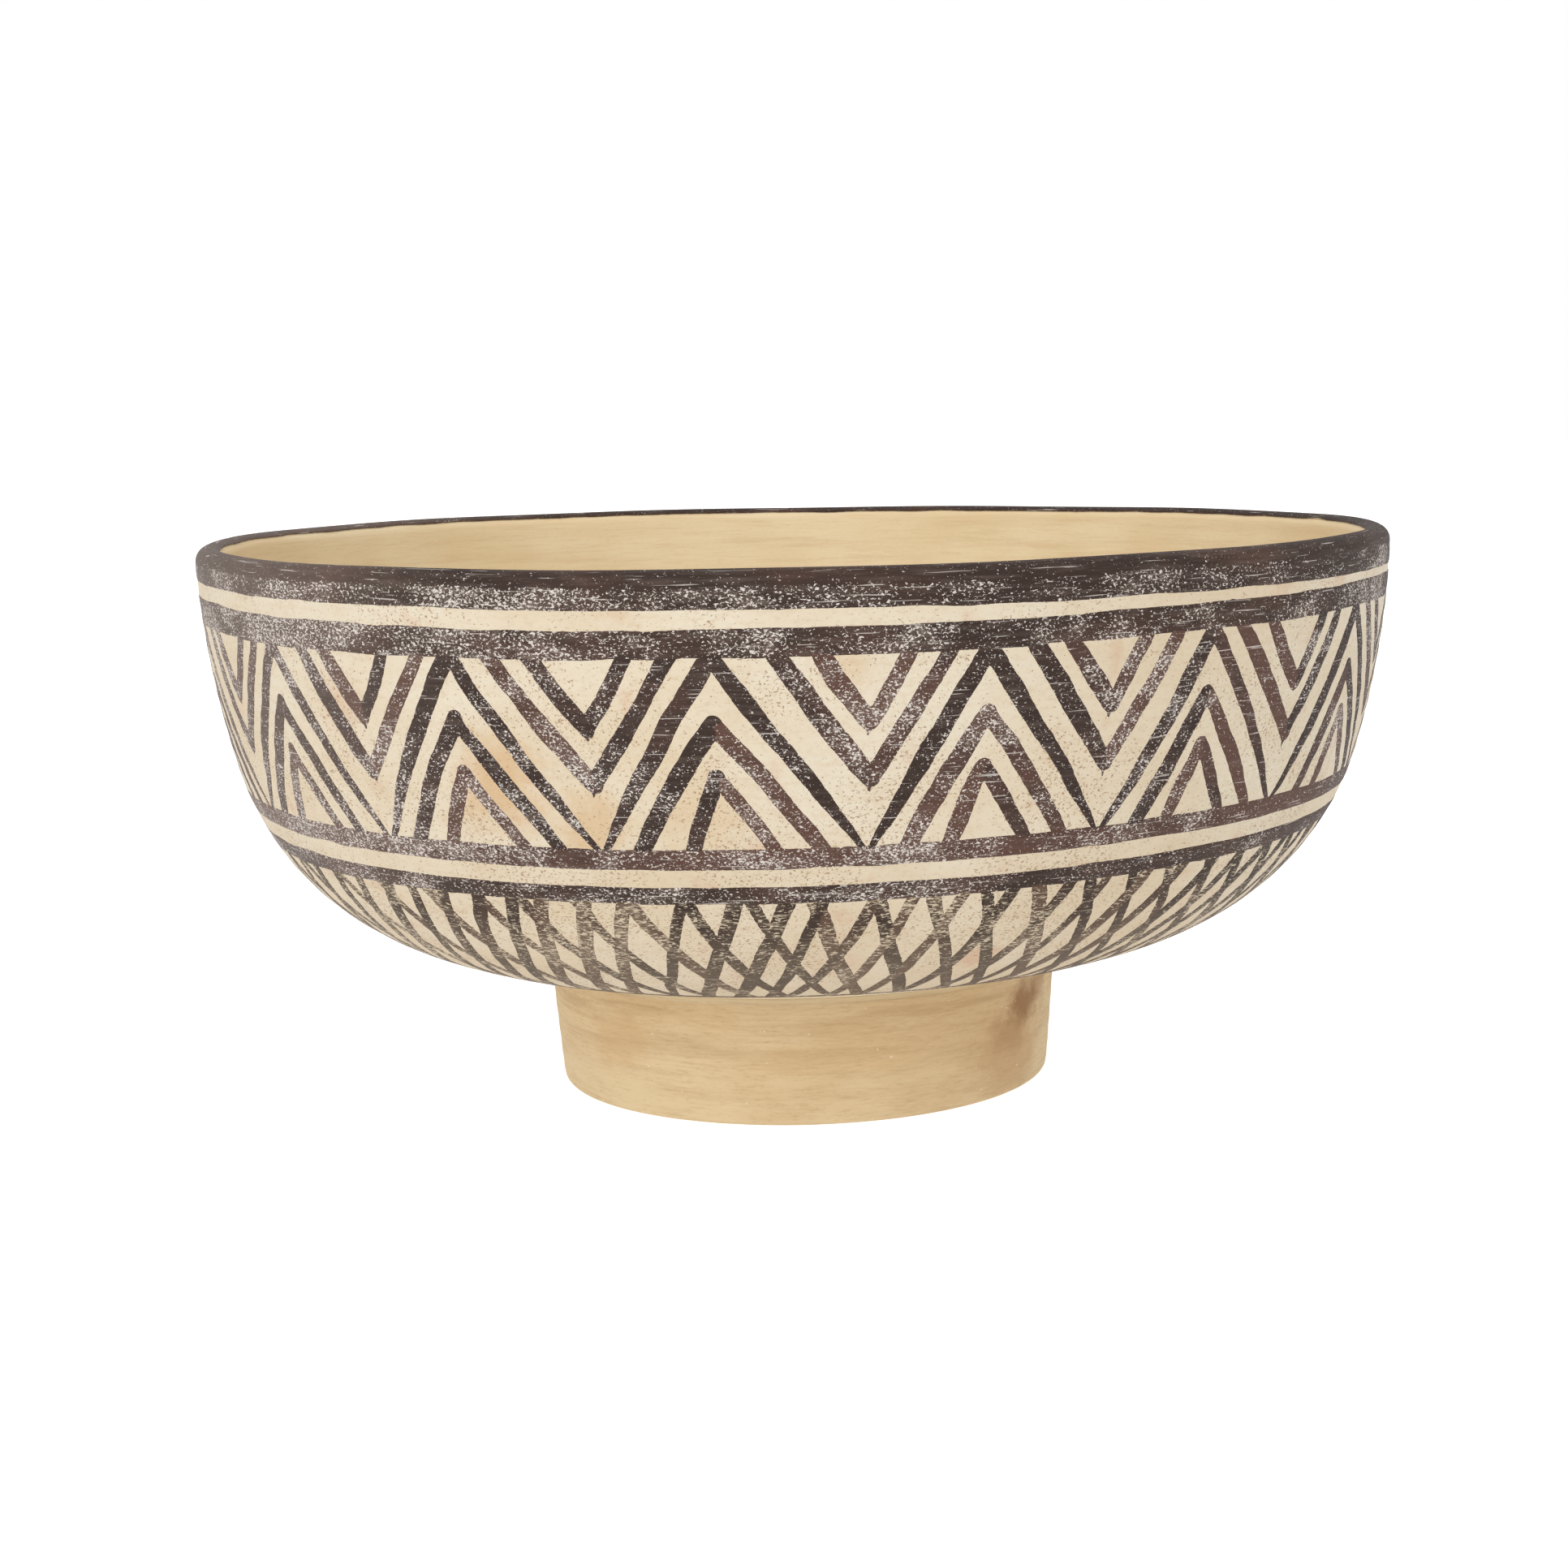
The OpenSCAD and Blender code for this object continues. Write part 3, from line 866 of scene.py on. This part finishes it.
# How far the painter strayed from an even division, in degrees, from the front
# round to the right.
VALLEY_STRAY = [
    0.8, -0.3, -1.0, -1.3, -0.6, 0.4, 0.9, 0.2,
    -0.5, 0.6, 1.0, 0.3, -0.4, -0.3, -0.2, 0.1,
]
PEAK_STRAY = [
    -0.7, -1.6, -0.7, -0.9, 0.3, 0.8, 0.1, -0.6,
    0.4, 0.9, 0.5, -0.2, -0.6, -1.1, -0.8, -0.4,
]
HUNG_STRAY = [
    0.1, -0.4, 0.2, 0.4, 0.1, -0.3, 0.2, 0.5,
    -0.2, 0.0, 0.3, -0.4, 0.2, 0.3, 0.15, 0.2,
]
# How many degrees wider than the rest some triangles were opened, left and right.
HUNG_REACH = {0: (-0.1, -0.7), 1: (0, -0.8), 2: (1.0, 0), 14: (0, 0.2), 15: (1.1, 0.1)}
PEAK_REACH = {0: (-0.3, -0.3), 1: (-0.7, -0.4), 14: (0.5, 0.2), 15: (0.2, 0.2)}
valleys = [FIRST + PITCH * i + VALLEY_STRAY[i] for i in range(MOTIFS)]
hung = [valley + stray for valley, stray in zip(valleys, HUNG_STRAY)]
peaks = [FIRST + PITCH * (i + 0.5) + PEAK_STRAY[i] for i in range(MOTIFS)]


def leg(start, end, bow, count=9):
    """Points from start to end (degrees, mm down the frieze), bowed sideways."""
    k = np.linspace(0, 1, count)
    angle = start[0] + (end[0] - start[0]) * k + bow * 4 * k * (1 - k)
    depth = start[1] + (end[1] - start[1]) * k
    return np.stack([np.radians(angle), S_TOP + depth * MM], -1)


def widths(values, count=9):
    """Stroke widths in mm at even steps, from a few given along the stroke."""
    return np.interp(np.linspace(0, 1, count), np.linspace(0, 1, len(values)), values) * MM


def frieze_canvas(seed):
    return Canvas(S_TOP - MARGIN, S_LOW + MARGIN, FRIEZE_CELL, seed)


def paint_zigzag():
    canvas = frieze_canvas(21)
    for i in range(MOTIFS):
        for side in (-1, 1):
            peak = peaks[i] - side * 0.15
            valley = valleys[i] if side < 0 else valleys[(i + 1) % MOTIFS]
            if side > 0 and i == MOTIFS - 1:
                valley += 360
            end = (valley - side * 0.28, FRIEZE_H + 0.6)
            path = leg((peak, -1.2), end, jitter(0.18))
            thick = widths([4.6, 4.9 + jitter(0.5), 4.7 + jitter(0.5), 3.8, 1.8])
            thick = thick * (0.98 if side < 0 else 0.88)
            canvas.stroke(path, thick, 0.3 + jitter(0.3))
    canvas.mesh("zigzag", STROKE_HIGH, umber_strokes, "umber_paint", ["zigzag_line"])


def paint_chevrons(name, node, seed, centres, reach, apex, far, half, bow, thick, tail):
    """Nested chevrons: reach is the opening each adds, apex and far are depths down
    the frieze, half the spread in degrees at the far end, left and right, thick the
    stroke's widths, and tail how far the brush ran on past the corner."""
    canvas = frieze_canvas(seed)
    for i, middle in enumerate(centres):
        corner = apex + jitter(0.5)
        for side in (-1, 1):
            hand = 0 if side < 0 else 1
            share = min(1, half[hand] / 6)
            spread = half[hand] + share * reach.get(i, (0, 0))[hand] + jitter(0.35)
            start = (middle + jitter(0.1), corner)
            end = (middle + side * spread, far)
            path = leg(start, end, side * bow + jitter(0.1))
            more = 0.3 if side < 0 else -0.3
            uneven = [w + jitter(0.3) + more for w in thick]
            canvas.stroke(path, widths(uneven), 0.5 + jitter(0.45))
        if tail:
            run = tail + jitter(0.5)
            lean = jitter(0.25)
            path = leg((middle, corner), (middle + lean, corner + run), 0, 4)
            canvas.stroke(path, widths([2.6, 1.4, 0.5], 4), 0.5)
    canvas.keep_between(S_TOP - 2 * MM, S_LOW + 2 * MM)
    canvas.mesh(name, STROKE_HIGH, umber_strokes, "umber_paint", [node])


BELOW = FRIEZE_H + 0.2  # how far down the standing chevrons run, and
ABOVE = -1.0  # how far up the hanging ones
paint_zigzag()
paint_chevrons(
    "peaks_outer", "outer_peak_chevrons", 22, peaks, PEAK_REACH, 15.2, BELOW,
    (6.6, 8.2), 0.2, [4.3, 4.7, 4.5, 4.0], 0,
)
paint_chevrons(
    "peaks_inner", "inner_peak_chevrons", 23, peaks, PEAK_REACH, 27.6, BELOW,
    (2.5, 4.6), 0.08, [3.9, 4.3, 4.2, 3.8], 0,
)
paint_chevrons(
    "hanging_outer", "outer_hanging_chevrons", 24, hung, HUNG_REACH, 29.4, ABOVE,
    (7.3, 7.1), 0.15, [4.3, 4.7, 4.6, 4.4], 3.4,
)
paint_chevrons(
    "hanging_inner", "inner_hanging_chevrons", 25, hung, HUNG_REACH, 16.0, ABOVE,
    (3.9, 3.8), 0.1, [4.1, 4.6, 4.5, 4.2], 2.8,
)

# The lattice: two fans of slanting strokes from the lower band to the base line.
S_NET = band_edges("lower_band")[1]
S_BASE = s_at_r(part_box("base_line")[1][0])
LEAN_OVER = 25 * MM  # the length over which a stroke's lean is given
# Where each stroke begins across the front, and how far it leans in its first
# 25 mm, both in degrees. Round the back they are even.
RIGHT_STROKES = [
    (-67, 5), (-61.4, 5), (-52.8, 5), (-45.3, 4.2), (-38.5, 4.3), (-32.2, 4.5),
    (-27.2, 4.6), (-21.3, 4.1), (-16.1, 4.3), (-10.5, 3.9), (-4.6, 3.7), (1.2, 2.8),
    (7, 2.7), (12.1, 3.1), (17.1, 2.7), (22.4, 2.7), (28, 2.6), (32.9, 2.6),
    (37.5, 3.1), (43.1, 3.2), (48, 3.6), (53.4, 4), (58.9, 4), (64.5, 4),
]
LEFT_STROKES = [
    (-67, -3), (-62.5, -3), (-58.1, -2.5), (-53.4, -2.6), (-48.9, -3.2),
    (-44.1, -4), (-40.5, -3.1), (-36.3, -3.4), (-32, -3.7), (-28.1, -3.8),
    (-24.8, -3.4), (-20.5, -3.2), (-16.6, -2.9), (-11, -3.1), (-6, -3.2),
    (-1.2, -3.4), (2, -3), (6.8, -4.1), (10.4, -3.2), (15.2, -3.5), (20, -3.3),
    (25.9, -3.8), (30, -3.6), (34.7, -4.1), (39.4, -4.5), (44, -4.3), (48.4, -4.7),
    (52.9, -4.8), (57.4, -4.3), (62, -4.3), (66.5, -4),
]


def all_strokes(front, count, lean):
    """The given strokes and evenly spread ones round the back."""
    first, last = front[0][0], front[-1][0]
    more = count - len(front)
    step = (360 - (last - first)) / (more + 1)
    back = [
        (last + step * (i + 1) + jitter(0.7), lean + jitter(0.5)) for i in range(more)
    ]
    return front + back


def paint_lattice(name, node, seed, strokes, height):
    """One fan of strokes, which bend a little more as they near the foot."""
    canvas = Canvas(S_NET - 4 * MM, S_BASE + 4 * MM, NET_CELL, seed)
    count = 14
    k = np.linspace(0, 1, count)
    length = S_BASE - S_NET + 1.5 * MM
    s = S_NET - 1 * MM + length * k
    for start, lean in strokes:
        far = lean * length / LEAN_OVER
        bend = jitter(0.25)
        angle = start + far * (0.94 * k + 0.1 * k * k) + bend * np.sin(math.pi * k)
        width = 3.8 + jitter(0.6)
        thick = widths([width * share for share in (1, 0.95, 0.95, 0.85, 0.8)], count)
        canvas.stroke(np.stack([np.radians(angle), s], -1), thick, 0.5 + jitter(0.5))
    canvas.keep_between(S_NET - 3 * MM, S_BASE + 2 * MM)
    canvas.mesh(name, height, washed, "washed_paint", [node])


# The left-leaning strokes were painted last, and lie a hair higher.
right_fan = all_strokes(RIGHT_STROKES, 61, 3.4)
paint_lattice("lattice_right", "lattice_right_strokes", 31, right_fan, 0.06 * MM)
left_fan = all_strokes(LEFT_STROKES, 78, -3.7)
paint_lattice("lattice_left", "lattice_left_strokes", 32, left_fan, 0.075 * MM)


def paint_base_line():
    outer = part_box("base_line")[1][0]
    top, low = s_at_r(outer - 0.3 * MM), s_at_r(outer - 2.6 * MM)
    canvas = Canvas(top - 5 * MM, low + 5 * MM, RIM_CELL, 33, STEADY, 0.04 * MM)
    shift = -1.6 * MM * np.cos(3 * canvas.theta) - wander(canvas.theta)
    canvas.ring(top + shift, low + shift, 0.4)
    canvas.mesh("foot_line", BAND_HIGH, umber, "umber_paint", ["base_line"])


paint_base_line()


# ------------------------------------------------------- floor, light, camera ---
def studio():
    """A plain pale sheet under the bowl."""
    half = 6.0
    mesh = bpy.data.meshes.new("floor")
    corners = [(x, y, 0) for y in (-half, half) for x in (-half, half)]
    mesh.from_pydata(corners, [], [(0, 1, 3, 2)])
    floor = bpy.data.objects.new("floor", mesh)
    mesh.materials.append(floor_material())
    bpy.context.scene.collection.objects.link(floor)


def softbox(name, place, target, size, power):
    light = bpy.data.lights.new(name, "AREA")
    light.shape = "DISK"
    light.size = size
    light.energy = power
    lamp = bpy.data.objects.new(name, light)
    lamp.location = place
    aim = Vector(target) - Vector(place)
    lamp.rotation_euler = aim.to_track_quat("-Z", "Y").to_euler()
    bpy.context.scene.collection.objects.link(lamp)


def overhead(name, strength, tilt, spread):
    """Broad even light from above, tilted towards the viewer's side."""
    light = bpy.data.lights.new(name, "SUN")
    light.energy = strength
    light.angle = spread
    lamp = bpy.data.objects.new(name, light)
    lamp.rotation_euler = (tilt, 0, 0)
    bpy.context.scene.collection.objects.link(lamp)


def camera():
    """Eye level a little above the lip, looking slightly down at the front."""
    distance, height = 0.7925, 0.1957
    pitch, roll, yaw = (math.radians(a) for a in (8.18, -1.58, -0.105))
    ahead = Vector((
        math.sin(yaw) * math.cos(pitch),
        math.cos(yaw) * math.cos(pitch),
        -math.sin(pitch),
    ))
    right = Vector((math.cos(yaw), -math.sin(yaw), 0))
    up = right.cross(ahead)
    x_axis = right * math.cos(roll) + up * math.sin(roll)
    y_axis = up * math.cos(roll) - right * math.sin(roll)
    lens = bpy.data.cameras.new("camera")
    lens.lens = 64.5
    lens.sensor_width = 36
    lens.shift_x = -0.0057
    eye = bpy.data.objects.new("camera", lens)
    turn = Matrix((x_axis, y_axis, -ahead)).transposed()
    eye.matrix_world = Matrix.Translation((0, -distance, height)) @ turn.to_4x4()
    bpy.context.scene.collection.objects.link(eye)
    bpy.context.scene.camera = eye


studio()
softbox("front", (-1.1, -1.75, 0.3), (0, 0, 0.07), 1.8, 16.5)
overhead("overhead", 1.0, math.radians(40), math.radians(60))
camera()

world = bpy.data.worlds.new("world")
bpy.context.scene.world = world
world.use_nodes = True
sky = world.node_tree.nodes["Background"]
sky.inputs["Color"].default_value = (1, 1, 1, 1)
sky.inputs["Strength"].default_value = 1.0
bpy.context.scene.view_settings.view_transform = "Standard"
